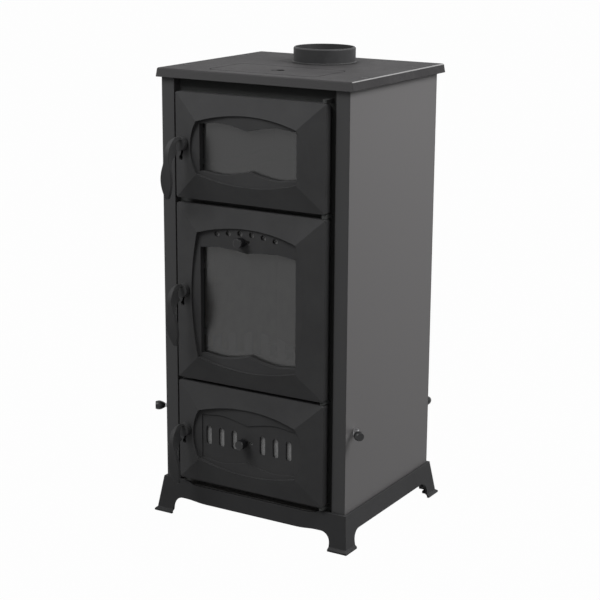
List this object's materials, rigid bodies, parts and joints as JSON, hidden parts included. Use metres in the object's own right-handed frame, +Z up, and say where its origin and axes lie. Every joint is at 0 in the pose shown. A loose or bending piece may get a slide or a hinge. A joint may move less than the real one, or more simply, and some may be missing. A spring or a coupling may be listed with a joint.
{
  "type": "wood stove with oven",
  "caption": "Free-standing cast and sheet steel wood stove with an oven above the firebox, hinged doors, air controls, ash pan, lift-out cooking plate and a flue collar on top.",
  "frame": {"origin": "on the floor at the centre of the whole footprint, handles and knobs included", "axes": "+Z up, the doors face -Y, +X is to the right as seen from the front"},
  "size_m": [0.4666, 0.448, 0.8993],
  "materials": {
    "cast_iron_plate": "matt black-grey heat paint on a fine cast texture",
    "top_iron": "matt cast texture, slightly worn at the edges",
    "sheet_panel": "satin grey heat paint",
    "inner_steel": "plain mill steel",
    "zinc_steel": "bright zinc-plated",
    "black_steel": "black oxide",
    "knob_black": "glossy black heat-proof resin",
    "window_glass": "ceramic glass, grey against the dark firebox",
    "fire_clay": "rough fired clay",
    "seal_rope": "woven glass-fibre rope",
    "grate_iron": "bare cast iron"
  },
  "bodies": {
    "stove": {"base_frame": "cast_iron_plate", "bottom_plate": "inner_steel", "left_side_panel": "sheet_panel", "right_side_panel": "sheet_panel", "rear_panel": "sheet_panel", "front_frame": "cast_iron_plate", "top_plate": "top_iron", "flue_collar": "black_steel", "collar_bolts": "black_steel", "tie_rods": "black_steel", "tie_rod_nuts": "black_steel", "front_frame_screws": "black_steel", "rear_panel_screws": "black_steel", "oven_box": "inner_steel", "oven_runners": "inner_steel", "oven_tray": "black_steel", "firebox_shell": "inner_steel", "left_firebrick": "fire_clay", "right_firebrick": "fire_clay", "rear_firebrick": "fire_clay", "baffle_plate": "grate_iron", "fire_grate": "grate_iron", "log_guard": "grate_iron", "log_guard_screws": "black_steel", "ash_box": "inner_steel", "ash_pan": "inner_steel", "hinge_pins": "zinc_steel"},
    "oven_door_body": {"oven_door": "cast_iron_plate", "oven_glass": "window_glass", "oven_glass_clips": "zinc_steel", "oven_door_rope": "seal_rope"},
    "fire_door_body": {"fire_door": "cast_iron_plate", "fire_glass": "window_glass", "fire_glass_clips": "zinc_steel", "fire_door_rope": "seal_rope", "fire_slide_guides": "zinc_steel"},
    "ash_door_body": {"ash_door": "cast_iron_plate", "ash_door_rope": "seal_rope", "ash_slide_guides": "zinc_steel"},
    "oven_handle_body": {"oven_handle": "cast_iron_plate", "oven_latch": "zinc_steel", "oven_latch_nut": "zinc_steel"},
    "fire_handle_body": {"fire_handle": "cast_iron_plate", "fire_latch": "zinc_steel", "fire_latch_nut": "zinc_steel"},
    "ash_handle_body": {"ash_handle": "cast_iron_plate", "ash_latch": "zinc_steel", "ash_latch_nut": "zinc_steel"},
    "fire_air_body": {"fire_air_slide": "zinc_steel", "fire_air_knob": "knob_black"},
    "ash_air_body": {"ash_air_slide": "zinc_steel", "ash_air_knob": "knob_black"},
    "left_air_body": {"left_air_rod": "zinc_steel", "left_air_knob": "knob_black"},
    "right_air_body": {"right_air_rod": "zinc_steel", "right_air_knob": "knob_black"},
    "rear_air_body": {"rear_air_rod": "zinc_steel", "rear_air_knob": "knob_black"},
    "lid_body": {"cooking_lid": "top_iron"}
  },
  "joints": [
    {"name": "oven_door_hinge", "type": "hinge", "parent": "stove", "child": "oven_door_body", "pos_m": [0.1545, -0.1557, 0.7315], "axis": [0, 0, 1], "range_deg": [0, 110]},
    {"name": "oven_handle_turn", "type": "hinge", "parent": "oven_door_body", "child": "oven_handle_body", "pos_m": [-0.14, -0.1617, 0.7365], "axis": [0, 1, 0], "range_deg": [-8, 82]},
    {"name": "fire_door_hinge", "type": "hinge", "parent": "stove", "child": "fire_door_body", "pos_m": [0.1545, -0.1557, 0.4535], "axis": [0, 0, 1], "range_deg": [0, 110]},
    {"name": "fire_handle_turn", "type": "hinge", "parent": "fire_door_body", "child": "fire_handle_body", "pos_m": [-0.14, -0.1617, 0.4585], "axis": [0, 1, 0], "range_deg": [0, 90]},
    {"name": "ash_door_hinge", "type": "hinge", "parent": "stove", "child": "ash_door_body", "pos_m": [0.1545, -0.1557, 0.178], "axis": [0, 0, 1], "range_deg": [0, 110]},
    {"name": "ash_handle_turn", "type": "hinge", "parent": "ash_door_body", "child": "ash_handle_body", "pos_m": [-0.14, -0.1617, 0.183], "axis": [0, 1, 0], "range_deg": [0, 90]},
    {"name": "fire_air_travel", "type": "slide", "parent": "fire_door_body", "child": "fire_air_body", "axis": [1, 0, 0], "range_m": [0, 0.01265]},
    {"name": "ash_air_travel", "type": "slide", "parent": "ash_door_body", "child": "ash_air_body", "axis": [1, 0, 0], "range_m": [0, 0.01435]},
    {"name": "left_air_turn", "type": "hinge", "parent": "stove", "child": "left_air_body", "pos_m": [-0.16, -0.1157, 0.208], "axis": [1, 0, 0], "range_deg": [0, 60]},
    {"name": "right_air_turn", "type": "hinge", "parent": "stove", "child": "right_air_body", "pos_m": [0.16, -0.1157, 0.226], "axis": [1, 0, 0], "range_deg": [0, 60]},
    {"name": "rear_air_turn", "type": "hinge", "parent": "stove", "child": "rear_air_body", "pos_m": [0.183, 0.1893, 0.188], "axis": [0, 1, 0], "range_deg": [0, 45]},
    {"name": "cooking_lid_lift", "type": "slide", "parent": "stove", "child": "lid_body", "axis": [0, 0, 1], "range_m": [0, 0.12]}
  ]
}
